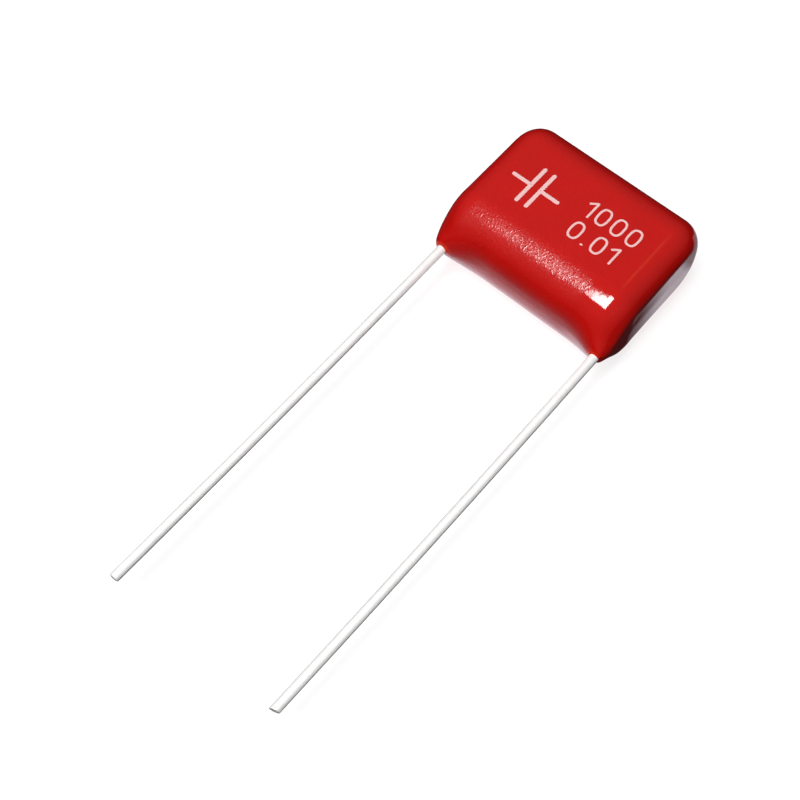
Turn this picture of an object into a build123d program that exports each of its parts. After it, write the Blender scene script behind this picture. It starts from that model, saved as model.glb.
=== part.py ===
from build123d import *
import os

os.makedirs("parts", exist_ok=True)

# A dipped film capacitor that lies on its back.
# A roll of metallised film is pressed flat, both ends are sprayed with metal, a wire lead is
# soldered on each end, and the whole is dipped in epoxy, which also wets the first part of
# each lead.
# X runs along the lead pitch, Y from the lead tips up the body, Z out of the printed face.
# The origin is the middle of the body's flat back, on the surface that the part lies on.

# Driving dimensions, in millimetres.
lead_pitch = 15.0
wire_d = 0.8
lead_free_left = 36.3
lead_free_right = 36.0
winding_height = 11.6
winding_thickness = 6.4
winding_corner_r = 2.55
core_slit_width = 4.0
core_slit_gap = 0.12
spray_thickness = 0.5
spray_edge_bevel = 0.2
solder_under_wire = 0.05
solder_height = 0.6
solder_width = 2.4
solder_length = 6.0
solder_flank_deg = 48.0
solder_top_gap = 1.2
lead_top_gap = 1.6
coat_thickness = 0.75
coat_over_left_wire = 0.9
coat_over_right_wire = 0.4
coat_end_r = 2.1
foot_length = 0.55
foot_rim = 0.05
foot_lean = 0.85
foot_reach = 6.5
foot_spread = 3.0
foot_outer_curve = 0.35
foot_inner_curve = 1.1
foot_sections = 5
foot_blend_r = 0.8
tip_round_left = 0.15
tip_shear_deg_right = 16.0

# Sizes worked out from them.
wire_r = wire_d / 2
lead_x = lead_pitch / 2
spray_outer_x = lead_x - wire_r - solder_under_wire
winding_end_x = spray_outer_x - spray_thickness
body_height = winding_height + 2 * coat_thickness
body_thickness = winding_thickness + 2 * coat_thickness
body_left_x = -lead_x - wire_r - coat_over_left_wire
body_right_x = lead_x + wire_r + coat_over_right_wire
body_width = body_right_x - body_left_x
body_corner_r = winding_corner_r + coat_thickness
body_bottom_y = -body_height / 2
foot_tip_y = body_bottom_y - foot_length
foot_root_y = body_bottom_y + coat_end_r
lead_top_y = winding_height / 2 - lead_top_gap
solder_mid_y = winding_height / 2 - lead_top_gap - solder_top_gap - solder_length / 2
mid_z = body_thickness / 2

# The winding lies with its flat sides up and down, its axis along X.
section_plane = Plane(origin=(0, 0, mid_z), x_dir=(0, 1, 0), z_dir=(1, 0, 0))

# The roll: a flattened section along X, with the thin slit that the drawn mandrel left.
with BuildPart() as film_winding:
    with BuildSketch(section_plane.offset(-winding_end_x)):
        RectangleRounded(winding_height, winding_thickness, winding_corner_r)
        SlotOverall(core_slit_width, core_slit_gap, mode=Mode.SUBTRACT)
    extrude(amount=2 * winding_end_x)
film_winding.part.label = "film_winding"
export_step(film_winding.part, "parts/film_winding.step")


def make_lead(side, free_length, tip_round, shear_deg):
    """A straight wire along Y. Its top is cut square, and its tip is rounded or sheared."""
    tip_y = foot_tip_y - free_length
    with BuildPart() as lead:
        with BuildSketch(Plane(origin=(side * lead_x, lead_top_y, mid_z), x_dir=(1, 0, 0), z_dir=(0, -1, 0))):
            Circle(wire_r)
        extrude(amount=lead_top_y - tip_y)
        if shear_deg > 0:
            tip_plane = Plane(origin=(side * lead_x - wire_r, tip_y, mid_z), x_dir=(1, 0, 0), z_dir=(0, 1, 0))
            split(bisect_by=tip_plane.rotated((0, 0, shear_deg)), keep=Keep.TOP)
        if tip_round > 0:
            fillet(lead.faces().sort_by(Axis.Y)[0].edges(), tip_round)
    return lead


def make_spray(side):
    """The sprayed metal on one end of the winding, with a bevelled outer edge."""
    with BuildPart() as spray:
        with BuildSketch(section_plane.offset(side * winding_end_x)):
            RectangleRounded(winding_height, winding_thickness, winding_corner_r)
        extrude(amount=side * spray_thickness)
        outer_face = spray.faces().filter_by(Plane.YZ).sort_by(Axis.X)[-1 if side > 0 else 0]
        chamfer(outer_face.edges(), spray_edge_bevel)
    return spray


def make_solder(side, lead):
    """A mound of solder on the sprayed end, that wets the wire's two sides."""
    with BuildPart() as solder:
        with BuildSketch(section_plane.offset(side * spray_outer_x)):
            with Locations((solder_mid_y, 0)):
                SlotOverall(solder_length, solder_width)
        extrude(amount=side * solder_height, taper=solder_flank_deg)
        add(lead.part, mode=Mode.SUBTRACT)
    return solder


lead_left = make_lead(-1, lead_free_left, tip_round_left, 0)
lead_right = make_lead(1, lead_free_right, 0, tip_shear_deg_right)
end_spray_left = make_spray(-1)
end_spray_right = make_spray(1)
solder_left = make_solder(-1, lead_left)
solder_right = make_solder(1, lead_right)


def make_foot(side, gap_to_end):
    """The coat that ran down a lead: sections that narrow along the wire to a thin rim.

    The outer side swells quickly to the body's own side. The inner side and both flanks spread
    almost evenly with the height, which gives the foot a wide root inside the body.
    """
    rim_r = wire_r + foot_rim
    outer_spread = gap_to_end * foot_lean
    with BuildPart() as foot:
        for step in range(foot_sections):
            height = step / (foot_sections - 1)
            flare = height**foot_inner_curve
            outer = rim_r + outer_spread * height**foot_outer_curve
            inner = rim_r + foot_reach * flare
            half_z = rim_r + foot_spread * flare
            middle_x = side * (lead_x - (inner - outer) / 2)
            y = foot_tip_y + height * (foot_root_y - foot_tip_y)
            with BuildSketch(Plane(origin=(middle_x, y, mid_z), x_dir=(1, 0, 0), z_dir=(0, -1, 0))):
                Ellipse((inner + outer) / 2, half_z)
        loft()
    return foot


foot_left = make_foot(-1, coat_over_left_wire)
foot_right = make_foot(1, coat_over_right_wire)

# The coat: the winding's section one coat larger all round, with round ends and a foot at each
# lead, less everything that it encloses.
with BuildPart() as epoxy_coat:
    with BuildSketch(section_plane.offset(body_left_x)):
        RectangleRounded(body_height, body_thickness, body_corner_r)
    extrude(amount=body_width)
    fillet(epoxy_coat.faces().filter_by(Plane.YZ).edges(), coat_end_r)
    for foot in (foot_left, foot_right):
        footless = epoxy_coat.part
        add(foot.part)
        fillet(new_edges(footless, foot.part, combined=epoxy_coat.part), foot_blend_r)
    with BuildSketch(section_plane.offset(-winding_end_x)):
        RectangleRounded(winding_height, winding_thickness, winding_corner_r)
    extrude(amount=2 * winding_end_x, mode=Mode.SUBTRACT)
    for piece in (end_spray_left, end_spray_right, solder_left, solder_right, lead_left, lead_right):
        add(piece.part, mode=Mode.SUBTRACT)
epoxy_coat.part.label = "epoxy_coat"
export_step(epoxy_coat.part, "parts/epoxy_coat.step")

for name, piece in (("lead_left", lead_left), ("lead_right", lead_right),
                    ("end_spray_left", end_spray_left), ("end_spray_right", end_spray_right),
                    ("solder_left", solder_left), ("solder_right", solder_right)):
    piece.part.label = name
    export_step(piece.part, f"parts/{name}.step")
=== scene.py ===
import math

import bpy
import numpy as np
from bpy.props import FloatProperty, FloatVectorProperty, IntProperty, PointerProperty, StringProperty
from mathutils import Matrix, Vector


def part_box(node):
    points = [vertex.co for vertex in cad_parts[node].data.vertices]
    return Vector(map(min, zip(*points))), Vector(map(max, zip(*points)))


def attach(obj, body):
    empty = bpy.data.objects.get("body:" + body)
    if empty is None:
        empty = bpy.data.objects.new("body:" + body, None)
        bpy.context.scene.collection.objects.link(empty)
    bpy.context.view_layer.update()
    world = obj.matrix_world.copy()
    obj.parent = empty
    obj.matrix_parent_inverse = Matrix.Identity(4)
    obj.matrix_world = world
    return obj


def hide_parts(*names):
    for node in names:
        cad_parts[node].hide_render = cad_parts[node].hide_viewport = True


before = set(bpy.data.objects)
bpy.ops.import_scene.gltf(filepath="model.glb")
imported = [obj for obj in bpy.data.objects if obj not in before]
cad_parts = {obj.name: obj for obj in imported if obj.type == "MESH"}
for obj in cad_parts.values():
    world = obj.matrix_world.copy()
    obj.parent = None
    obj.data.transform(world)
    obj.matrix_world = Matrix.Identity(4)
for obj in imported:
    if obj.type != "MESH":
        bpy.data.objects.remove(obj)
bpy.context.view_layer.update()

bl_info = {
    "name": "Dipped Film Capacitor",
    "version": (1, 0, 0),
    "blender": (4, 5, 0),
    "location": "3D View > Sidebar > Capacitor",
    "description": "Dresses the packed frame of a dipped film capacitor with its coat, leads and print",
    "category": "Object",
}

MM = 0.001


def node_box_mm(node):
    """The lowest and highest corner of a CAD node, as arrays in millimetres."""
    low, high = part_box(node)
    return np.array(low) / MM, np.array(high) / MM


# Sizes that the CAD nodes give, in millimetres

COAT_LOW, COAT_HIGH = node_box_mm("epoxy_coat")
WINDING_LOW, WINDING_HIGH = node_box_mm("film_winding")
LEFT_WIRE_LOW, LEFT_WIRE_HIGH = node_box_mm("lead_left")
RIGHT_WIRE_LOW, RIGHT_WIRE_HIGH = node_box_mm("lead_right")
WIRE_R = float(LEFT_WIRE_HIGH[0] - LEFT_WIRE_LOW[0]) / 2
LEAD_X = float(RIGHT_WIRE_HIGH[0] + RIGHT_WIRE_LOW[0]) / 2
BODY_MIDDLE_X = (COAT_LOW[0] + COAT_HIGH[0]) / 2
BODY_HALF_X = (COAT_HIGH[0] - COAT_LOW[0]) / 2
BODY_TOP_Y = float(COAT_HIGH[1])
MID_Z = float(COAT_LOW[2] + COAT_HIGH[2]) / 2


# Settings

class CoatSettings(bpy.types.PropertyGroup):
    """Sizes and colours of the epoxy coat, in millimetres."""
    section_r: FloatProperty(
        name="Section radius", description="Radius of the long edges, round the winding", default=3.3)
    end_r: FloatProperty(
        name="End radius", description="Radius of the edges at both ends", default=2.1)
    face_dip: FloatProperty(
        name="Face dip", description="How far the faces lie inside the widest outline", default=0.03)
    side_crown: FloatProperty(
        name="Side crown", description="How far the sides swell at half the body's thickness", default=0.03)
    ridge: FloatProperty(
        name="Ridge", description="Height of the soft ridge over each end of the winding", default=0.014)
    foot_rim: FloatProperty(
        name="Foot rim", description="Thickness of the coat's thin end round a lead", default=0.05)
    foot_run: FloatProperty(
        name="Foot run", description="How much further the coat's thin end ran down a lead", default=0.06)
    foot_blend: FloatProperty(
        name="Foot blend", description="How softly a foot runs into the body", default=1.8)
    colour: FloatVectorProperty(
        name="Colour", description="Colour of the epoxy powder", subtype="COLOR", size=3,
        default=(0.52, 0.006, 0.0042))
    rim_colour: FloatVectorProperty(
        name="Rim colour", description="Colour of the coat's thin end round a lead", subtype="COLOR",
        size=3, default=(0.66, 0.022, 0.004))
    # The line is a painted highlight, a lighter colour laid along the ridge over the winding's right end
    highlight_line_colour: FloatVectorProperty(
        name="Line colour", description="Colour of the faint line over the winding's right end",
        subtype="COLOR", size=3, default=(0.6, 0.045, 0.02))


class LeadSettings(bpy.types.PropertyGroup):
    """Sizes and colour of the two wires, in millimetres."""
    bow: FloatProperty(
        name="Bow", description="How far the middle of a lead bends aside", default=0.09)
    unevenness: FloatProperty(
        name="Unevenness", description="Share of the radius by which the tin varies", default=0.012)
    tip_round: FloatProperty(
        name="Tip round", description="Radius that the cutter left on the left tip", default=0.14)
    shear: FloatProperty(
        name="Shear", description="Slope of the cut on the right tip", subtype="ANGLE",
        default=math.radians(16))
    colour: FloatVectorProperty(
        name="Colour", description="Colour of the tin plating", subtype="COLOR", size=3,
        default=(0.97, 0.97, 0.96))


class PrintSettings(bpy.types.PropertyGroup):
    """The marks on the face, in millimetres."""
    upper_row: StringProperty(
        name="Upper row", description="Upper row of print, made of 0, 1 and dots", default="1000")
    lower_row: StringProperty(
        name="Lower row", description="Lower row of print, made of 0, 1 and dots", default="0.01")
    digit_height: FloatProperty(
        name="Digit height", description="Height of the digits", default=1.76)
    stroke: FloatProperty(
        name="Stroke", description="Width of a digit's stroke", default=0.2)
    ink_rise: FloatProperty(
        name="Ink rise", description="How far the ink stands proud of the coat", default=0.005)
    colour: FloatVectorProperty(
        name="Colour", description="Colour of the ink", subtype="COLOR", size=3,
        default=(0.86, 0.52, 0.51))


class InsideSettings(bpy.types.PropertyGroup):
    """Colours of what the coat encloses."""
    film_colour: FloatVectorProperty(
        name="Film", description="Colour of the metallised film", subtype="COLOR", size=3,
        default=(0.55, 0.56, 0.6))
    spray_colour: FloatVectorProperty(
        name="Sprayed metal", description="Colour of the sprayed ends", subtype="COLOR", size=3,
        default=(0.4, 0.41, 0.43))
    solder_colour: FloatVectorProperty(
        name="Solder", description="Colour of the solder", subtype="COLOR", size=3,
        default=(0.6, 0.6, 0.62))


class StageSettings(bpy.types.PropertyGroup):
    """Camera and light."""
    azimuth: FloatProperty(
        name="Azimuth", description="Turn of the camera from straight in front", subtype="ANGLE",
        default=math.radians(39.66))
    elevation: FloatProperty(
        name="Elevation", description="Height of the camera over the horizon", subtype="ANGLE",
        default=math.radians(63.15))
    roll: FloatProperty(
        name="Roll", description="Tilt of the camera about its own line of sight", subtype="ANGLE",
        default=math.radians(0.904))
    aim: FloatVectorProperty(
        name="Aim", description="Point that the camera looks at, in millimetres", subtype="XYZ",
        size=3, default=(-1.327, -19.532, 3.95))
    distance: FloatProperty(
        name="Distance", description="From the camera to the point it looks at, in millimetres",
        default=109.83)
    focal_px: IntProperty(
        name="Focal length", description="Focal length in pixels of an image 800 wide", default=1467)
    key_power: FloatProperty(
        name="Key power", description="Strength of all three softboxes", default=1.0)
    sky: FloatProperty(
        name="Sky", description="Strength of the dim room overhead", default=0.14)


# Meshes

def mesh_piece(name, points, polygons, material):
    """One object from an array of points in millimetres and arrays of polygons.

    Each array in polygons holds the corners of polygons of one size, a row for each.
    """
    corners = np.concatenate([part.ravel() for part in polygons])
    sizes = np.concatenate([np.full(len(part), part.shape[1]) for part in polygons])
    starts = np.concatenate([[0], np.cumsum(sizes)[:-1]])
    mesh = bpy.data.meshes.new(name)
    mesh.vertices.add(len(points))
    mesh.vertices.foreach_set("co", (points * MM).astype(np.float32).ravel())
    mesh.loops.add(len(corners))
    mesh.loops.foreach_set("vertex_index", corners.astype(np.int32))
    mesh.polygons.add(len(sizes))
    mesh.polygons.foreach_set("loop_start", starts.astype(np.int32))
    mesh.polygons.foreach_set("use_smooth", np.ones(len(sizes), dtype=bool))
    mesh.update(calc_edges=True)
    mesh.validate()
    mesh.materials.append(material)
    piece = bpy.data.objects.new(name, mesh)
    bpy.context.scene.collection.objects.link(piece)
    return piece


def closed_piece(name, grid, first_pole, last_pole, material):
    """A skin from a grid of rings, each closed round, and the points that close its two ends.

    Rings follow one another along the first axis and join with quads. The first and the last
    ring join their pole with triangles. Without a last pole, the skin ends at its last ring.
    """
    rows, columns = grid.shape[:2]
    along, around = np.meshgrid(np.arange(rows - 1), np.arange(columns), indexing="ij")
    beside = (around + 1) % columns
    here = 1 + along * columns
    ahead = here + columns
    quads = np.stack([here + around, here + beside, ahead + beside, ahead + around], axis=-1)
    around, beside = around[0], beside[0]
    points = np.concatenate([[first_pole], grid.reshape(-1, 3)])
    first_fan = np.stack([np.zeros(columns, int), 1 + beside, 1 + around], axis=-1)
    polygons = [quads.reshape(-1, 4), first_fan]
    if last_pole is not None:
        last_ring = 1 + (rows - 1) * columns
        pole = np.full(columns, len(points))
        polygons.append(np.stack([last_ring + around, last_ring + beside, pole], axis=-1))
        points = np.concatenate([points, [last_pole]])
    return mesh_piece(name, points, polygons, material)


def graded(length, spots, fine, coarse, reach):
    """Places from 0 to length whose spacing narrows to fine within reach of each spot.

    The spacing at s is coarse less (coarse - fine) times the largest exp(-(d / reach)^4), d the
    distance to a spot. Equal steps of the integral of 1 / spacing give the places.
    """
    s = np.linspace(0, length, 4000)
    near = np.max([np.exp(-(((s - spot) / reach) ** 4)) for spot in spots], axis=0)
    density = 1 / (coarse - (coarse - fine) * near)
    count = np.concatenate([[0], np.cumsum((density[1:] + density[:-1]) / 2 * np.diff(s))])
    return np.interp(np.linspace(0, count[-1], int(round(count[-1])) + 1), count, s)


# Coat, with its sizes in millimetres

# Steps between the skin's points, near a foot and elsewhere
FINE_STEP = 0.05
COARSE_STEP = 0.17
# Height of the skin's long waves, and how far it is moved in, all over and at the body's ends
WAVE_HEIGHT = 0.002
SKIN_INSET = 0.005
END_INSET = 0.01
# How often the search for the skin halves its range
HALVINGS = 26


def smooth_least(a, b, width):
    """The lesser of a and b, less width / 6 * (1 - |a - b| / width)^3 where they are that near."""
    near = np.maximum(width - np.abs(a - b), 0) / width
    return np.minimum(a, b) - near**3 * width / 6


def outside_corner(a, b):
    """Distance from a square corner whose sides are a = 0 and b = 0, below zero inside.

    It is length(max(a, 0), max(b, 0)) + min(max(a, b), 0).
    """
    return np.hypot(np.maximum(a, 0), np.maximum(b, 0)) + np.minimum(np.maximum(a, b), 0)


def body_field(x, y, z, coat):
    """How far a point lies outside the coat's body, below zero inside.

    The body is the winding's rounded section carried along X, with its end edges rounded. With
    a and b the distances outside the section and outside the end planes, each moved in by the
    end radius, the field is the distance outside their corner, less the end radius.
    """
    out_y = np.abs(y) - (BODY_TOP_Y - coat.section_r)
    out_z = np.abs(z - MID_Z) - (MID_Z - coat.section_r)
    a = outside_corner(out_y, out_z) - coat.section_r + coat.end_r
    b = np.abs(x - BODY_MIDDLE_X) - BODY_HALF_X + coat.end_r
    return outside_corner(a, b) - coat.end_r


def foot_field(x, y, z, side, gap_to_end, coat):
    """How far a point lies outside the coat that ran down one lead, below zero inside.

    Sections across the lead are ellipses. With h the height over the foot's tip, as a share of
    its whole height, the side towards the end grows as h^0.35, the side towards the middle as
    h^0.9 and the two flanks as h^0.6, from a rim just wider than the wire. With q the distance
    from the ellipse's middle in half sizes, the field is q (q - 1) over the length of
    (across / half_x, up / half_z). Planes at the tip and at the root close the foot.
    """
    tip_y = COAT_LOW[1] - coat.foot_run
    root_y = -BODY_TOP_Y + coat.end_r
    h = np.clip((y - tip_y) / (root_y - tip_y), 0, 1)
    rim = WIRE_R + coat.foot_rim
    outer_spread = 0.95 * gap_to_end
    inner_spread = 6.5
    flank_spread = 2.3
    root_slope = 0.8
    outer = rim + outer_spread * h**0.35
    inner = rim + inner_spread * h**0.9
    half_x = (outer + inner) / 2
    half_z = rim + flank_spread * h**0.6
    across = (x - side * (LEAD_X - (inner - outer) / 2)) / half_x
    up = (z - MID_Z) / half_z
    q = np.hypot(across, up)
    steep = np.hypot(across / half_x, up / half_z)
    ellipse = q * (q - 1) / np.maximum(steep, 1e-6)
    return np.maximum(np.maximum(ellipse, tip_y - y), (y - root_y) * root_slope)


def coat_field(x, y, z, coat):
    """The whole coat: body and feet joined softly, with the skin's own unevenness.

    Long waves are sums of sines. The faces, over 3 mm from half the thickness, lie inside the
    widest outline by the face dip, and rise to a soft ridge, exp(-(d / 0.35)^2), over each end
    of the winding. The ridges fade out 2.8 mm from the middle of the body's height. The sides
    lie inside by the side crown times 1 - exp(-(height / 0.8)^2), so they swell at half the
    thickness. The body is moved in a little, and its ends are held in, so that it stays inside
    the CAD node's box.
    """
    body = body_field(x, y, z, coat)
    left = foot_field(x, y, z, -1, -LEAD_X - WIRE_R - COAT_LOW[0], coat)
    right = foot_field(x, y, z, 1, COAT_HIGH[0] - LEAD_X - WIRE_R, coat)
    feet = smooth_least(left, right, coat.foot_blend)
    whole = smooth_least(body, feet, coat.foot_blend)

    waves = (np.sin(1.1 * x + 0.7 * y + 0.4) * np.sin(0.9 * y - 0.6 * z + 1.3)
             + 0.6 * np.sin(1.9 * x - 1.3 * y + 2.1) * np.sin(1.7 * z + 0.8 * x))
    right_ridge = np.exp(-(((x - WINDING_HIGH[0]) / 0.35) ** 2))
    left_ridge = np.exp(-(((x - WINDING_LOW[0]) / 0.35) ** 2))
    ridge_run = 1 / (1 + np.exp((np.abs(y) - 2.8) / 0.25))
    swell = coat.side_crown * (1 - np.exp(-(((z - MID_Z) / 0.8) ** 2)))
    over_face = 1 / (1 + np.exp((3.0 - np.abs(z - MID_Z)) / 0.15))
    whole = whole + swell * (1 - over_face) + coat.face_dip * over_face
    whole = whole - coat.ridge * (right_ridge + left_ridge) * ridge_run
    whole = whole + WAVE_HEIGHT * waves + SKIN_INSET
    past_end = np.abs(x - BODY_MIDDLE_X) - BODY_HALF_X + END_INSET
    return -smooth_least(-whole, -past_end, 0.15)


def surface_along(start, direction, low, high, field):
    """The points start + t * direction where the field is zero, t found by halving low to high."""
    low = np.full(start.shape[:-1], low)
    high = np.full(start.shape[:-1], high)
    for _ in range(HALVINGS):
        t = (low + high) / 2
        point = start + t[..., None] * direction
        inside = field(point[..., 0], point[..., 1], point[..., 2]) < 0
        low = np.where(inside, t, low)
        high = np.where(inside, high, t)
    return start + ((low + high) / 2)[..., None] * direction


def coat_grid(coat):
    """The coat's skin as rings of points, from the middle of the left end to that of the right.

    Round the section, the middle of an arc runs along straights and stands at corners while its
    angle turns. Along the part, a quarter turn of the end radius leads from each end plane to
    the side. Each of these plain points is then moved to the coat's field along its normal, or
    straight down the lead where a foot is near.
    """
    half_y = BODY_TOP_Y - coat.section_r
    half_z = MID_Z - coat.section_r
    arc = coat.section_r * math.pi / 2
    lengths = [half_z, arc, 2 * half_y, arc, 2 * half_z, arc, 2 * half_y, arc, half_z]
    knots = np.concatenate([[0], np.cumsum(lengths)])
    turned = np.array([0, 0, 1, 1, 2, 2, 3, 3, 4, 4]) * math.pi / 2
    middle_y = np.array([-1, -1, -1, 1, 1, 1, 1, -1, -1, -1]) * half_y
    middle_z = np.array([0, -1, -1, -1, -1, 1, 1, 1, 1, 0]) * half_z
    around = graded(knots[-1], (0, knots[-1]), FINE_STEP, COARSE_STEP, reach=1.6)[:-1]
    angle = np.interp(around, knots, turned)
    normal_y = -np.cos(angle)
    normal_z = -np.sin(angle)
    core_r = coat.section_r - coat.end_r
    core_y = np.interp(around, knots, middle_y) + core_r * normal_y
    core_z = np.interp(around, knots, middle_z) + core_r * normal_z

    quarter = coat.end_r * math.pi / 2
    left_x = COAT_LOW[0] + coat.end_r
    right_x = COAT_HIGH[0] - coat.end_r
    end_run = half_y
    stops = np.cumsum([0, end_run, quarter, right_x - left_x, quarter, end_run])
    left_foot = end_run + coat.end_r * math.acos((left_x + LEAD_X) / coat.end_r)
    right_foot = stops[3] + coat.end_r * math.asin((LEAD_X - right_x) / coat.end_r)
    along = graded(stops[-1], (left_foot, right_foot), FINE_STEP, COARSE_STEP, reach=1.3)[1:-1]
    reach = np.interp(along, stops, [0, 1, 1, 1, 1, 0])[:, None]
    turn = np.interp(along, stops, [0, 0, math.pi / 2, math.pi / 2, math.pi, math.pi])[:, None]
    middle_x = np.interp(along, stops, [left_x, left_x, left_x, right_x, right_x, right_x])[:, None]

    normal = np.stack([
        -np.cos(turn) + 0 * core_y,
        np.sin(turn) * normal_y,
        np.sin(turn) * normal_z,
    ], axis=-1)
    plain = np.stack([
        middle_x - coat.end_r * np.cos(turn) + 0 * core_y,
        reach * core_y + coat.end_r * np.sin(turn) * normal_y,
        MID_Z + reach * core_z + coat.end_r * np.sin(turn) * normal_z,
    ], axis=-1)
    off_wire = np.hypot(np.abs(plain[..., 0]) - LEAD_X, plain[..., 2] - MID_Z)
    near_foot = 1.2
    down = (np.exp(-((off_wire / near_foot) ** 4)) * (plain[..., 1] < -half_y))[..., None]
    direction = normal * (1 - down) + np.array([0, -1, 0]) * down
    direction /= np.linalg.norm(direction, axis=-1, keepdims=True)
    most_inward = -0.8
    most_outward = 1.4
    return surface_along(plain, direction, most_inward, most_outward,
                         lambda x, y, z: coat_field(x, y, z, coat))


def face_height(x, y, coat):
    """Height of the printed face over each x, y."""
    start = np.stack([x, y, np.full(np.shape(x), MID_Z)], axis=-1)
    top = surface_along(start, np.array([0, 0, 1.0]), 1.0, MID_Z + 0.5,
                        lambda px, py, pz: coat_field(px, py, pz, coat))
    return top[..., 2]


# Leads, with their sizes in millimetres

# Length of a wire's last stretch, and how far the flat of the cut lies inside its edge
TIP_RUN = 0.6
CUT_LIP = 0.02


def rounded_tip(y, radius, theta, tip_y, tip_round):
    """Carries a wire's rings on over a quarter round and a flat that narrows to its middle.

    Over the round, y is tip_round * (1 - sin turn) before the tip, and the radius is less by
    tip_round * (1 - cos turn). It returns the rings' y, their radius and the end point's y.
    """
    turn = np.linspace(0, math.pi / 2, 9)[1:, None]
    cap_y = tip_y + tip_round * (1 - np.sin(turn)) + 0 * theta
    cap_r = radius[-1] - tip_round * (1 - np.cos(turn))
    flat = np.linspace(0.8, 0.2, 4)[:, None]
    cap_y = np.concatenate([cap_y, tip_y + 0 * flat * theta])
    cap_r = np.concatenate([cap_r, flat * cap_r[-1]])
    return np.concatenate([y, cap_y]), np.concatenate([radius, cap_r]), tip_y


def sheared_tip(y, radius, theta, tip_y, tip_round, shear):
    """Leans a wire's last rings into a slanting cut, and closes it with a flat that narrows.

    The cut rises over the tip by tan(shear) * (wire radius + x), x across the wire. The rings
    lean more and more over the tip run, and the flat lies a lip's depth inside the cut's edge.
    It returns the rings' y, their radius and the end point's y.
    """
    half_rise = math.tan(shear) * WIRE_R
    rise = half_rise * (1 + np.cos(theta))
    near_tip = np.clip((tip_y + TIP_RUN - y) / (TIP_RUN - tip_round), 0, 1)
    y = y + near_tip * (rise + CUT_LIP - tip_round)
    shrink = np.array([0.99, 0.96, 0.8, 0.5, 0.2])[:, None]
    inside = np.array([0.01, 0.0, 0.015, CUT_LIP, CUT_LIP])[:, None]
    cap_y = tip_y + half_rise * (1 + shrink * np.cos(theta)) + inside
    cap_r = shrink * radius[-1]
    end_y = tip_y + half_rise + CUT_LIP
    return np.concatenate([y, cap_y]), np.concatenate([radius, cap_r]), end_y


def lead_rings(side_name, leads):
    """One wire as rings from its buried top to its tip, and its two end points.

    The centre line leaves the straight by bow * 4 t (1 - t) over the free length. The radius
    varies by sums of sines along and round the wire. The left tip is rounded and the right
    one is cut at a slant.
    """
    side = -1 if side_name == "left" else 1
    low, high = node_box_mm(f"lead_{side_name}")
    tip_y, top_y = float(low[1]), float(high[1])
    exit_y = float(COAT_LOW[1])
    # Rings in the coat, along the free length and over the last stretch
    buried = np.linspace(top_y, exit_y + 0.3, 12)
    free = np.linspace(exit_y + 0.2, tip_y + TIP_RUN, 330)
    before_tip = np.linspace(tip_y + 0.55, tip_y + leads.tip_round, 12)
    theta = np.linspace(0, 2 * math.pi, 64, endpoint=False)
    y = np.concatenate([buried, free, before_tip])[:, None] + 0 * theta
    swell = (0.5 * np.sin(1.3 * y + 2 * np.cos(theta) + side) + 0.3 * np.sin(3.1 * y + 2 * theta)
             + 0.2 * np.sin(7.3 * y - 3 * theta + 1))
    radius = WIRE_R * (1 - leads.unevenness * (1 + swell) / 2)
    if side_name == "left":
        y, radius, end_y = rounded_tip(y, radius, theta, tip_y, leads.tip_round)
    else:
        y, radius, end_y = sheared_tip(y, radius, theta, tip_y, leads.tip_round, leads.shear)
    t = np.clip((exit_y - y) / (exit_y - tip_y), 0, 1)
    middle_x = side * LEAD_X + leads.bow * 4 * t * (1 - t)
    rings = np.stack([middle_x + radius * np.cos(theta), y, MID_Z + radius * np.sin(theta)], axis=-1)
    first = np.array([side * LEAD_X, top_y, MID_Z])
    last = np.array([side * LEAD_X, end_y, MID_Z])
    return rings, first, last


# Print, with its sizes in millimetres

# Lower left corners of the rows, and the sign's middle
UPPER_ROW_CORNER = (-0.02, 0.2)
LOWER_ROW_CORNER = (0.16, -2.1)
SIGN_MIDDLE = (-4.05, -0.15)
# How many times as wide as a digit's stroke the sign's is
SIGN_BOLDNESS = 1.8


def ring_path(centre_x, centre_y, half_width, half_height):
    """A closed stroke: the oval |x|^2.6 + |y|^2.6 = 1, stretched to its half sizes."""
    a = np.linspace(0, 2 * math.pi, 73)
    power = 2 / 2.6
    x = centre_x + half_width * np.sign(np.cos(a)) * np.abs(np.cos(a)) ** power
    y = centre_y + half_height * np.sign(np.sin(a)) * np.abs(np.sin(a)) ** power
    return np.stack([x, y], axis=-1)


def straight_path(*corners):
    """An open stroke through the corners, with a point about every 0.05 mm and at least six."""
    corners = np.array(corners, float)
    legs = np.hypot(*np.diff(corners, axis=0).T)
    run = np.concatenate([[0], np.cumsum(legs)])
    s = np.linspace(0, run[-1], max(int(run[-1] / 0.05), 6))
    return np.stack([np.interp(s, run, corners[:, 0]), np.interp(s, run, corners[:, 1])], axis=-1)


def digit_paths(digit, left, base, height, stroke):
    """The strokes of one sign and its width: an oval for 0, a flag and a stem for 1, else a dot."""
    inset = stroke / 2
    if digit == "0":
        width = 0.62 * height
        half_width = width / 2 - inset
        half_height = height / 2 - inset
        return [ring_path(left + width / 2, base + height / 2, half_width, half_height)], width
    if digit == "1":
        width = 0.42 * height
        stem = left + width - inset
        flag = (left + inset, base + 0.72 * height)
        return [straight_path(flag, (stem, base + height - inset), (stem, base + inset))], width
    width = 0.2 * height
    dot = left + width / 2
    return [straight_path((dot - 0.02, base + inset), (dot + 0.02, base + inset))], width


def row_paths(digits, corner, height, stroke):
    """The strokes of a row of digits from its lower left corner, a fifth of their height apart."""
    left, base = corner
    paths = []
    for digit in digits:
        strokes, width = digit_paths(digit, left, base, height, stroke)
        paths += strokes
        left += width + 0.2 * height
    return paths


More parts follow.
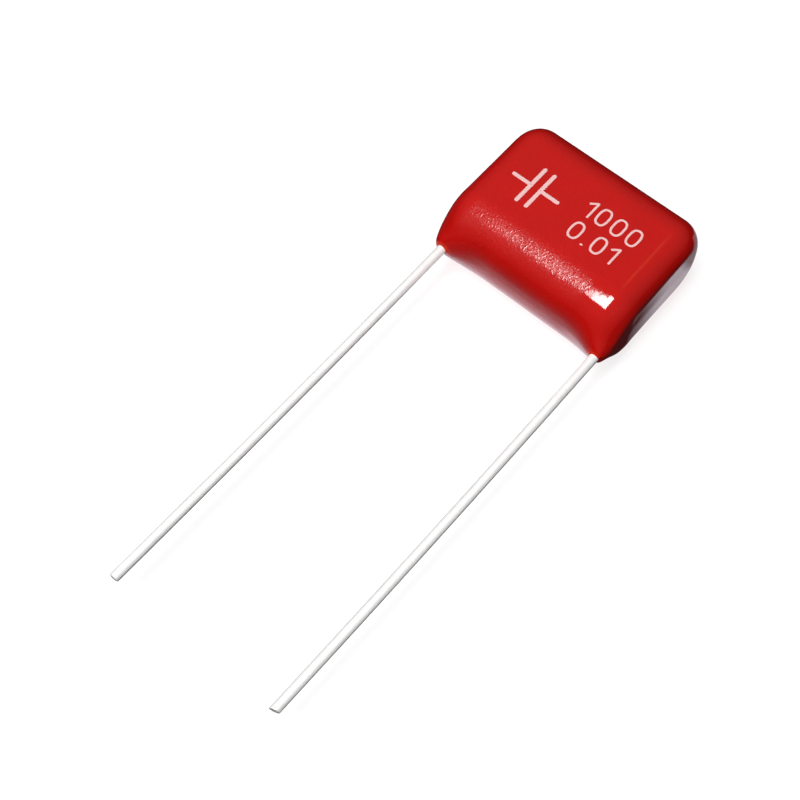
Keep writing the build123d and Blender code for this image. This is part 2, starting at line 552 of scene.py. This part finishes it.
def sign_paths(middle, half_gap, half_plate, half_width):
    """The circuit sign of a capacitor: two plates side by side, and a line out from each."""
    x, y = middle
    paths = []
    for side in (-1, 1):
        plate_x = x + side * half_gap
        paths.append(straight_path((plate_x, y - half_plate), (plate_x, y + half_plate)))
        paths.append(straight_path((plate_x, y), (x + side * half_width, y)))
    return paths


def looped_piece(name, grid, material):
    """A skin from a grid whose rings follow one another in a loop. Its last ring is its first."""
    rows, columns = grid.shape[0] - 1, grid.shape[1]
    along, around = np.meshgrid(np.arange(rows), np.arange(columns), indexing="ij")
    here = along * columns
    ahead = (along + 1) % rows * columns
    beside = (around + 1) % columns
    quads = np.stack([here + around, ahead + around, ahead + beside, here + beside], axis=-1)
    return mesh_piece(name, grid[:-1].reshape(-1, 3), [quads.reshape(-1, 4)], material)


def ink_piece(name, path, width, rise, coat, material):
    """A stroke of ink: a low dome carried along the path, standing on the coat's face.

    Across the stroke the dome is rise * (1 - s^4), s from -1 to 1, and its underside lies in
    the coat. An open stroke ends in half rounds: there the width follows a circle, and the ink
    thins out.
    """
    end_rings = 8
    under_depth = 1.5
    narrowest = 0.003
    across_top = np.linspace(-1, 1, 9)
    across_under = across_top[::-1][1:-1]
    closed = np.allclose(path[0], path[-1])
    tangent = np.gradient(path, axis=0)
    if closed:
        tangent[0] = tangent[-1] = path[1] - path[-2]
    tangent /= np.linalg.norm(tangent, axis=1, keepdims=True)
    half = np.full(len(path), width / 2)
    if not closed:
        ends = width / 2 * np.linspace(1, 1 / end_rings, end_rings)[:, None]
        first_end = path[0] - tangent[0] * ends
        last_end = path[-1] + tangent[-1] * ends[::-1]
        path = np.concatenate([first_end, path, last_end])
        grow = width / 2 * np.sqrt(np.maximum(1 - (ends[:, 0] / (width / 2)) ** 2, narrowest))
        half = np.concatenate([grow, half, grow[::-1]])
        first_tangent = np.repeat(tangent[:1], end_rings, 0)
        last_tangent = np.repeat(tangent[-1:], end_rings, 0)
        tangent = np.concatenate([first_tangent, tangent, last_tangent])
    normal = np.stack([-tangent[:, 1], tangent[:, 0]], axis=-1)
    s = np.concatenate([across_top, across_under])
    dome = np.concatenate([1 - across_top**4, np.full(len(across_under), -under_depth)])
    x = path[:, None, 0] + normal[:, None, 0] * s * half[:, None]
    y = path[:, None, 1] + normal[:, None, 1] * s * half[:, None]
    thickness = rise * np.minimum(half / half.max() * 1.2, 1)[:, None]
    grid = np.stack([x, y, face_height(x, y, coat) + dome * thickness], axis=-1)
    if closed:
        return looped_piece(name, grid, material)
    return closed_piece(name, grid[:, ::-1], grid[0].mean(0), grid[-1].mean(0), material)


# Materials

def new_material(name):
    """A node material, its tree, its Principled shader and its Object coordinates."""
    material = bpy.data.materials.new(name)
    material.use_nodes = True
    tree = material.node_tree
    place = tree.nodes.new("ShaderNodeTexCoord").outputs["Object"]
    return material, tree, tree.nodes["Principled BSDF"], place


def axes(tree, place):
    """The outputs X, Y and Z of a place, by name."""
    split = tree.nodes.new("ShaderNodeSeparateXYZ")
    tree.links.new(place, split.inputs["Vector"])
    return split.outputs


def noise(tree, place, wavelength_mm, detail, stretch=None):
    """Noise from 0 to 1 whose bumps are about one wavelength apart."""
    texture = tree.nodes.new("ShaderNodeTexNoise")
    texture.inputs["Scale"].default_value = 1 / (wavelength_mm * MM)
    texture.inputs["Detail"].default_value = detail
    if stretch is not None:
        mapping = tree.nodes.new("ShaderNodeMapping")
        mapping.inputs["Scale"].default_value = stretch
        tree.links.new(place, mapping.inputs["Vector"])
        place = mapping.outputs["Vector"]
    tree.links.new(place, texture.inputs["Vector"])
    return texture.outputs["Fac"]


def spread(tree, value, low, high, from_low=0.3, from_high=0.7):
    """Maps a value's range to low and high. The range is the middle of a noise's if none is given."""
    ranged = tree.nodes.new("ShaderNodeMapRange")
    ranged.inputs["From Min"].default_value = from_low
    ranged.inputs["From Max"].default_value = from_high
    ranged.inputs["To Min"].default_value = low
    ranged.inputs["To Max"].default_value = high
    tree.links.new(value, ranged.inputs["Value"])
    return ranged.outputs["Result"]


def mixed(tree, factor, first, second):
    """A colour between two, by a factor from 0 to 1. Each is a colour or another node's output."""
    mix = tree.nodes.new("ShaderNodeMix")
    mix.data_type = "RGBA"
    tree.links.new(factor, mix.inputs["Factor"])
    for socket, colour in ((mix.inputs["A"], first), (mix.inputs["B"], second)):
        if isinstance(colour, bpy.types.NodeSocket):
            tree.links.new(colour, socket)
        else:
            socket.default_value = (*colour, 1)
    return mix.outputs["Result"]


def bump(tree, height, depth_mm, before=None):
    """A bump of that depth, laid over an earlier one."""
    node = tree.nodes.new("ShaderNodeBump")
    node.inputs["Distance"].default_value = depth_mm * MM
    tree.links.new(height, node.inputs["Height"])
    if before is not None:
        tree.links.new(before, node.inputs["Normal"])
    return node.outputs["Normal"]


def worked(tree, operation, *values):
    """A Math node's result. Each value is a number or another node's output."""
    node = tree.nodes.new("ShaderNodeMath")
    node.operation = operation
    for socket, value in zip(node.inputs, values):
        if isinstance(value, bpy.types.NodeSocket):
            tree.links.new(value, socket)
        else:
            socket.default_value = value
    return node.outputs["Value"]


def shade(colour, factor):
    """A colour made lighter or darker."""
    return tuple(min(1.0, channel * factor) for channel in colour)


def epoxy_material(coat):
    """Glossy powder epoxy: slight orange peel, dull specks and grains of powder, orange foot rims.

    The specks and grains run out towards the right end, where the coat levelled better. A lighter line is
    painted over the winding's right end, a painted highlight along the ridge there, and it fades out
    towards the body's long sides.
    """
    material, tree, shader, place = new_material("Red epoxy coat")
    along = axes(tree, place)
    colour = coat.colour
    cloud = spread(tree, noise(tree, place, 2.5, 3), 0, 1)
    speck = spread(tree, noise(tree, place, 0.12, 1), 0, 1)
    speck_colour = (colour[0] * 0.94, colour[1] * 0.9, colour[2] * 0.9)
    base = mixed(tree, cloud, shade(colour, 0.93), shade(colour, 1.07))
    base = mixed(tree, speck, base, speck_colour)

    rim_y = (float(COAT_LOW[1]) - coat.foot_run) * MM
    rim = spread(tree, along["Y"], 1, 0, rim_y + 0.01 * MM, rim_y + 0.09 * MM)
    base = mixed(tree, rim, base, coat.rim_colour)

    # A lighter line painted over the ridge at the winding's right end: a painted highlight
    line_x = 6.45 * MM
    off_line = worked(tree, "ABSOLUTE", worked(tree, "SUBTRACT", along["X"], line_x))
    line = spread(tree, off_line, 0.35, 0, 0.02 * MM, 0.17 * MM)
    off_middle = worked(tree, "ABSOLUTE", along["Y"])
    line_run = spread(tree, off_middle, 1, 0, 2.0 * MM, 3.6 * MM)
    base = mixed(tree, worked(tree, "MULTIPLY", line, line_run), base, coat.highlight_line_colour)
    tree.links.new(base, shader.inputs["Base Color"])

    powdery = spread(tree, along["X"], 1, 0, 4.0 * MM, 4.7 * MM)
    dull = spread(tree, noise(tree, place, 0.15, 1), 0.05, 0.17)
    dull = worked(tree, "MULTIPLY", dull, powdery)
    levelled_roughness = 0.07
    tree.links.new(worked(tree, "ADD", dull, levelled_roughness), shader.inputs["Roughness"])
    shader.inputs["IOR"].default_value = 1.66
    swell = bump(tree, noise(tree, place, 0.9, 1), 0.005)
    peel = bump(tree, noise(tree, place, 0.3, 1), 0.002, swell)
    grains = spread(tree, noise(tree, place, 0.21, 0), 0, 1, 0.54, 0.76)
    grains = worked(tree, "MULTIPLY", grains, powdery)
    tree.links.new(bump(tree, grains, 0.0045, peel), shader.inputs["Normal"])
    return material


def tin_material(colour):
    """Dull tin plating: drawn along the wire, a little cloudy, with faint handling marks."""
    material, tree, shader, place = new_material("Tinned wire")
    drawn = spread(tree, noise(tree, place, 0.25, 3, stretch=(1, 0.06, 1)), 0, 1)
    cloudy = spread(tree, noise(tree, place, 1.1, 3), 0, 1)
    base = mixed(tree, drawn, shade(colour, 0.9), shade(colour, 1.08))
    base = mixed(tree, cloudy, base, colour)
    tree.links.new(base, shader.inputs["Base Color"])
    shader.inputs["Metallic"].default_value = 0.12
    tree.links.new(spread(tree, cloudy, 0.4, 0.5, 0, 1), shader.inputs["Roughness"])
    ripple = bump(tree, noise(tree, place, 0.7, 2, stretch=(1, 0.4, 1)), 0.012)
    tree.links.new(bump(tree, drawn, 0.0015, ripple), shader.inputs["Normal"])
    return material


def ink_material(colour):
    """Stamped ink: nearly opaque, a little thin in places."""
    material, tree, shader, place = new_material("Pale ink")
    thin = spread(tree, noise(tree, place, 0.2, 3), 0, 1)
    tree.links.new(mixed(tree, thin, colour, shade(colour, 0.9)), shader.inputs["Base Color"])
    tree.links.new(spread(tree, thin, 0.45, 0.6, 0, 1), shader.inputs["Roughness"])
    tree.links.new(bump(tree, noise(tree, place, 0.08, 2), 0.002), shader.inputs["Normal"])
    return material


def film_material(colour):
    """Metallised film: satin metal with the fine lines of its turns."""
    material, tree, shader, place = new_material("Metallised film")
    turns = spread(tree, noise(tree, place, 0.3, 2, stretch=(0.05, 1, 1)), 0, 1)
    base = mixed(tree, turns, shade(colour, 0.8), shade(colour, 1.15))
    tree.links.new(base, shader.inputs["Base Color"])
    shader.inputs["Metallic"].default_value = 0.7
    tree.links.new(spread(tree, turns, 0.25, 0.4, 0, 1), shader.inputs["Roughness"])
    tree.links.new(bump(tree, turns, 0.01), shader.inputs["Normal"])
    return material


def grainy_metal_material(name, colour, wavelength_mm, depth_mm, roughness):
    """Sprayed metal or solder: a grain of that size and depth over a cloudy colour."""
    material, tree, shader, place = new_material(name)
    grain = noise(tree, place, wavelength_mm, 3)
    mottle = spread(tree, grain, 0, 1)
    base = mixed(tree, mottle, shade(colour, 0.8), shade(colour, 1.2))
    rough = spread(tree, mottle, roughness - 0.08, roughness + 0.08, 0, 1)
    tree.links.new(base, shader.inputs["Base Color"])
    shader.inputs["Metallic"].default_value = 0.9
    tree.links.new(rough, shader.inputs["Roughness"])
    tree.links.new(bump(tree, grain, depth_mm), shader.inputs["Normal"])
    return material


# Stage

WHITE = (1, 1, 1, 1)
ROOM_COLOUR = (1.0, 0.94, 0.92, 1)
# Colour of the painted glow: light that the floor gives off to all rays but the camera's, though it is no
# lamp, so that the coat shows painted reflections
PAINTED_GLOW_COLOUR = (0.95, 0.92, 1.0, 1)
# How the painted glow falls off in front of the body: the distance where it is 1, and its power
PAINTED_GLOW_FALL_MM = 1.7
PAINTED_GLOW_FALL_POWER = -1.6
# The most light it has, along the body and past the body's right end
PAINTED_GLOW_MOST = 1.5
PAINTED_GLOW_MOST_AT_RIGHT = 0.9
# The shares of it that are left past its two slanting cuts, which paint dark bands into the coat's
# reflections, and behind the body
PAINTED_GLOW_PAST_CUTS = 0.02
PAINTED_GLOW_BEHIND = 0.45
# How much the cuts slant, as X over Y
PAINTED_GLOW_RIGHT_SLANT = 0.32
PAINTED_GLOW_LEFT_SLANT = 0.9
SENSOR_WIDTH_MM = 36
IMAGE_WIDTH_PX = 800


def seen_directly(tree):
    """1 for the camera's rays and rays through glass, 0 for all others."""
    path = tree.nodes.new("ShaderNodeLightPath")
    return worked(tree, "MAXIMUM", path.outputs["Is Camera Ray"], path.outputs["Is Transmission Ray"])


def show_by_ray(tree, seen, directly, otherwise, output_name):
    """Gives the output one shader where seen is 1, and another where it is 0."""
    either = tree.nodes.new("ShaderNodeMixShader")
    tree.links.new(seen, either.inputs[0])
    tree.links.new(otherwise, either.inputs[1])
    tree.links.new(directly, either.inputs[2])
    tree.links.new(either.outputs["Shader"], tree.nodes[output_name].inputs["Surface"])


def painted_glow_strength(tree, place):
    """Strength of the painted glow on the floor, a patch that gives off light though it is no lamp, and
    that the coat mirrors as painted reflections.

    With d the distance in front of the body in millimetres, it is (d / 1.7)^-1.6, at most 1.5, or 0.9 past
    the right end. The glow is cut off at a slant near both of the body's ends, so that the coat mirrors
    painted dark bands there, and it is dimmer behind the body.
    """
    along = axes(tree, place)
    right_x = COAT_HIGH[0]
    cut_x = worked(tree, "MULTIPLY_ADD", along["Y"], -PAINTED_GLOW_RIGHT_SLANT, along["X"])
    right = spread(tree, cut_x, 1, PAINTED_GLOW_PAST_CUTS, (right_x - 0.2) * MM, (right_x + 1.2) * MM)
    cut_x = worked(tree, "MULTIPLY_ADD", along["Y"], -PAINTED_GLOW_LEFT_SLANT, along["X"])
    left = spread(tree, cut_x, PAINTED_GLOW_PAST_CUTS, 1, -6.8 * MM, -5.0 * MM)
    edge_y = (BODY_TOP_Y - 0.5) * MM
    behind = spread(tree, along["Y"], 1, PAINTED_GLOW_BEHIND, edge_y, (BODY_TOP_Y + 0.5) * MM)
    per_fall = -1 / (PAINTED_GLOW_FALL_MM * MM)
    front = worked(tree, "MULTIPLY_ADD", along["Y"], per_fall, -BODY_TOP_Y / PAINTED_GLOW_FALL_MM)
    fall = worked(tree, "POWER", worked(tree, "MAXIMUM", front, 0.4), PAINTED_GLOW_FALL_POWER)
    most = spread(tree, along["X"], PAINTED_GLOW_MOST, PAINTED_GLOW_MOST_AT_RIGHT, (right_x - 1.0) * MM, right_x * MM)
    fall = worked(tree, "MINIMUM", fall, most)
    over_width = worked(tree, "MULTIPLY", right, left)
    over_depth = worked(tree, "MULTIPLY", behind, fall)
    return worked(tree, "MULTIPLY", over_width, over_depth)


def floor_material():
    """Matt white floor, topped up to white for the camera and through glass, and wholly so far off.

    To other rays it is only the painted glow, an emitting patch that is no lamp and that the coat mirrors
    as painted reflections, in a dim room.
    """
    material, tree, shader, place = new_material("White floor")
    mottle = spread(tree, noise(tree, place, 30, 2), 0, 1)
    base = mixed(tree, mottle, (0.3, 0.3, 0.3), (0.32, 0.32, 0.32))
    tree.links.new(base, shader.inputs["Base Color"])
    shader.inputs["Roughness"].default_value = 0.9
    shader.inputs["Specular IOR Level"].default_value = 0.0
    shader.inputs["Emission Color"].default_value = WHITE
    seen = seen_directly(tree)
    far = tree.nodes.new("ShaderNodeVectorMath")
    far.operation = "LENGTH"
    tree.links.new(place, far.inputs[0])
    top_up = spread(tree, far.outputs["Value"], 0.8, 1, 90 * MM, 220 * MM)
    tree.links.new(worked(tree, "MULTIPLY", seen, top_up), shader.inputs["Emission Strength"])

    # The painted glow: emission that stands in for a lit card on the floor and for the reflections the coat
    # shows of it
    painted_glow = tree.nodes.new("ShaderNodeEmission")
    painted_glow.inputs["Color"].default_value = PAINTED_GLOW_COLOUR
    tree.links.new(painted_glow_strength(tree, place), painted_glow.inputs["Strength"])
    show_by_ray(tree, seen, shader.outputs["BSDF"], painted_glow.outputs["Emission"], "Material Output")
    return material


def floor_piece(name, radius_mm, material):
    """A round sheet on the floor, as six rings whose radius grows as the square of their count."""
    angle = np.linspace(0, 2 * math.pi, 96, endpoint=False)
    radius = radius_mm * (np.arange(1, 7) / 6)[:, None] ** 2
    rings = np.stack([radius * np.cos(angle), radius * np.sin(angle), 0 * radius * angle], axis=-1)
    return closed_piece(name, rings, rings[0].mean(0), None, material)


def dim_room(sky):
    """A world that is white to the camera and through glass, and a dim room to other rays.

    The room's strength grows from 0.3 of the sky's at the horizon to all of it overhead.
    """
    world = bpy.data.worlds.new("Dim room")
    world.use_nodes = True
    tree = world.node_tree
    place = tree.nodes.new("ShaderNodeTexCoord").outputs["Generated"]
    room = tree.nodes["Background"]
    room.inputs["Color"].default_value = ROOM_COLOUR
    strength = spread(tree, axes(tree, place)["Z"], 0.3 * sky, sky, 0, 0.6)
    tree.links.new(strength, room.inputs["Strength"])
    white = tree.nodes.new("ShaderNodeBackground")
    white.inputs["Color"].default_value = WHITE
    show_by_ray(tree, seen_directly(tree), white.outputs["Background"], room.outputs["Background"],
                "World Output")
    return world


def softbox(name, toward, distance_mm, width_mm, height_mm, turn, strength):
    """A rectangular lamp that faces the body from a direction, turned about that direction.

    Its power gives it a radiance of strength, whatever its size: strength * pi * area.
    """
    toward = Vector(toward).normalized()
    lamp = bpy.data.lights.new(name, "AREA")
    lamp.shape = "RECTANGLE"
    lamp.size = width_mm * MM
    lamp.size_y = height_mm * MM
    lamp.energy = strength * math.pi * lamp.size * lamp.size_y
    holder = bpy.data.objects.new(name, lamp)
    body_middle = Vector((0, 0, MID_Z * MM))
    sideways = Vector((1, 0, 0))
    sideways = (sideways - toward * sideways.dot(toward)).normalized()
    upward = toward.cross(sideways)
    facing = Matrix((sideways, upward, toward)).transposed()
    holder.matrix_world = (Matrix.Translation(body_middle + toward * distance_mm * MM)
                           @ (facing @ Matrix.Rotation(turn, 3, "Z")).to_4x4())
    bpy.context.scene.collection.objects.link(holder)
    return holder


def photo_camera(stage):
    """The camera, which looks at its aim from the photograph's side, height and distance."""
    camera = bpy.data.cameras.new("photo_camera")
    camera.sensor_fit = "HORIZONTAL"
    camera.sensor_width = SENSOR_WIDTH_MM
    camera.lens = SENSOR_WIDTH_MM * stage.focal_px / IMAGE_WIDTH_PX
    camera.clip_start = 0.001
    camera.clip_end = 10
    holder = bpy.data.objects.new("photo_camera", camera)
    aim = Vector(stage.aim) * MM
    back = Vector((math.sin(stage.azimuth) * math.cos(stage.elevation),
                   -math.cos(stage.azimuth) * math.cos(stage.elevation), math.sin(stage.elevation)))
    right = Vector((0, 0, 1)).cross(back).normalized()
    level = Matrix((right, back.cross(right), back)).transposed()
    holder.matrix_world = (Matrix.Translation(aim + back * stage.distance * MM)
                           @ (level @ Matrix.Rotation(stage.roll, 3, "Z")).to_4x4())
    bpy.context.scene.collection.objects.link(holder)
    return holder


# Operators

class CAPACITOR_OT_coat(bpy.types.Operator):
    """Make the dipped epoxy coat"""
    bl_idname = "capacitor.coat"
    bl_label = "Epoxy coat"

    def execute(self, context):
        coat = context.scene.capacitor_coat
        grid = coat_grid(coat)
        piece = closed_piece("coat_skin", grid, grid[0].mean(0), grid[-1].mean(0), epoxy_material(coat))
        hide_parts("epoxy_coat")
        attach(piece, "root")
        return {"FINISHED"}


class CAPACITOR_OT_leads(bpy.types.Operator):
    """Make the two tinned wire leads"""
    bl_idname = "capacitor.leads"
    bl_label = "Wire leads"

    def execute(self, context):
        leads = context.scene.capacitor_leads
        tin = tin_material(leads.colour)
        for side_name in ("left", "right"):
            rings, first, last = lead_rings(side_name, leads)
            piece = closed_piece(f"wire_{side_name}", rings, first, last, tin)
            piece.visible_glossy = False  # the coat shows no mirror image of the wires
            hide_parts(f"lead_{side_name}")
            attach(piece, "root")
        return {"FINISHED"}


class CAPACITOR_OT_print(bpy.types.Operator):
    """Print plain digits and a circuit sign on the face"""
    bl_idname = "capacitor.print"
    bl_label = "Print"

    def execute(self, context):
        ink = context.scene.capacitor_print
        coat = context.scene.capacitor_coat
        material = ink_material(ink.colour)
        rows = row_paths(ink.upper_row, UPPER_ROW_CORNER, ink.digit_height, ink.stroke)
        rows += row_paths(ink.lower_row, LOWER_ROW_CORNER, ink.digit_height, ink.stroke)
        sign = sign_paths(SIGN_MIDDLE, half_gap=0.46, half_plate=1.8, half_width=2.1)
        marks = [(path, ink.stroke) for path in rows]
        marks += [(path, SIGN_BOLDNESS * ink.stroke) for path in sign]
        for index, (path, width) in enumerate(marks):
            piece = ink_piece(f"ink_{index:02d}", path, width, ink.ink_rise, coat, material)
            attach(piece, "root")
        return {"FINISHED"}


class CAPACITOR_OT_inside(bpy.types.Operator):
    """Finish the winding, its sprayed ends and the solder"""
    bl_idname = "capacitor.inside"
    bl_label = "Winding and end metal"

    def execute(self, context):
        inside = context.scene.capacitor_inside
        film = film_material(inside.film_colour)
        spray = grainy_metal_material("Sprayed metal", inside.spray_colour, 0.12, 0.03, 0.6)
        solder = grainy_metal_material("Solder", inside.solder_colour, 0.6, 0.02, 0.3)
        finishes = {"film_winding": film, "end_spray_left": spray, "end_spray_right": spray,
                    "solder_left": solder, "solder_right": solder}
        for node, material in finishes.items():
            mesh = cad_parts[node].data
            mesh.materials.clear()
            mesh.materials.append(material)
        return {"FINISHED"}


class CAPACITOR_OT_stage(bpy.types.Operator):
    """Set the floor, the softboxes, the dim room and the camera"""
    bl_idname = "capacitor.stage"
    bl_label = "Stage"

    def execute(self, context):
        scene = context.scene
        stage = scene.capacitor_stage
        floor_piece("floor", 1500, floor_material())
        softbox("key_softbox", (-0.048, -0.323, 0.944), distance_mm=261, width_mm=75, height_mm=165,
                turn=math.radians(-5), strength=17 * stage.key_power)
        for name, toward, strength in (("left_fill", (-0.5, -0.65, 0.55), 2.0),
                                       ("right_fill", (0.7, -0.35, 0.62), 1.1)):
            fill = softbox(name, toward, distance_mm=300, width_mm=150, height_mm=150,
                           turn=0, strength=strength * stage.key_power)
            fill.visible_glossy = False
        scene.world = dim_room(stage.sky)
        scene.camera = photo_camera(stage)
        scene.view_settings.view_transform = "Standard"
        return {"FINISHED"}


class CAPACITOR_PT_panel(bpy.types.Panel):
    """Steps that dress the capacitor"""
    bl_idname = "CAPACITOR_PT_panel"
    bl_label = "Dipped film capacitor"
    bl_space_type = "VIEW_3D"
    bl_region_type = "UI"
    bl_category = "Capacitor"

    def draw(self, context):
        for group_name, step in zip(SETTINGS, STEPS):
            box = self.layout.box()
            box.operator(step.bl_idname)
            settings = getattr(context.scene, group_name)
            for name in settings.__annotations__:
                box.prop(settings, name)


SETTINGS = {
    "capacitor_coat": CoatSettings,
    "capacitor_leads": LeadSettings,
    "capacitor_print": PrintSettings,
    "capacitor_inside": InsideSettings,
    "capacitor_stage": StageSettings,
}
STEPS = (CAPACITOR_OT_coat, CAPACITOR_OT_leads, CAPACITOR_OT_print, CAPACITOR_OT_inside, CAPACITOR_OT_stage)


def register():
    """Registers the settings, the steps and the panel."""
    for settings in SETTINGS.values():
        bpy.utils.register_class(settings)
    for name, settings in SETTINGS.items():
        setattr(bpy.types.Scene, name, PointerProperty(type=settings))
    for step in STEPS:
        bpy.utils.register_class(step)
    bpy.utils.register_class(CAPACITOR_PT_panel)


def unregister():
    """Takes them away again, in the opposite order."""
    bpy.utils.unregister_class(CAPACITOR_PT_panel)
    for step in reversed(STEPS):
        bpy.utils.unregister_class(step)
    for name in SETTINGS:
        delattr(bpy.types.Scene, name)
    for settings in reversed(SETTINGS.values()):
        bpy.utils.unregister_class(settings)


def main():
    """Registers the add-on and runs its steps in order."""
    register()
    bpy.ops.capacitor.coat()
    bpy.ops.capacitor.leads()
    bpy.ops.capacitor.print()
    bpy.ops.capacitor.inside()
    bpy.ops.capacitor.stage()


if __name__ == "__main__":
    main()
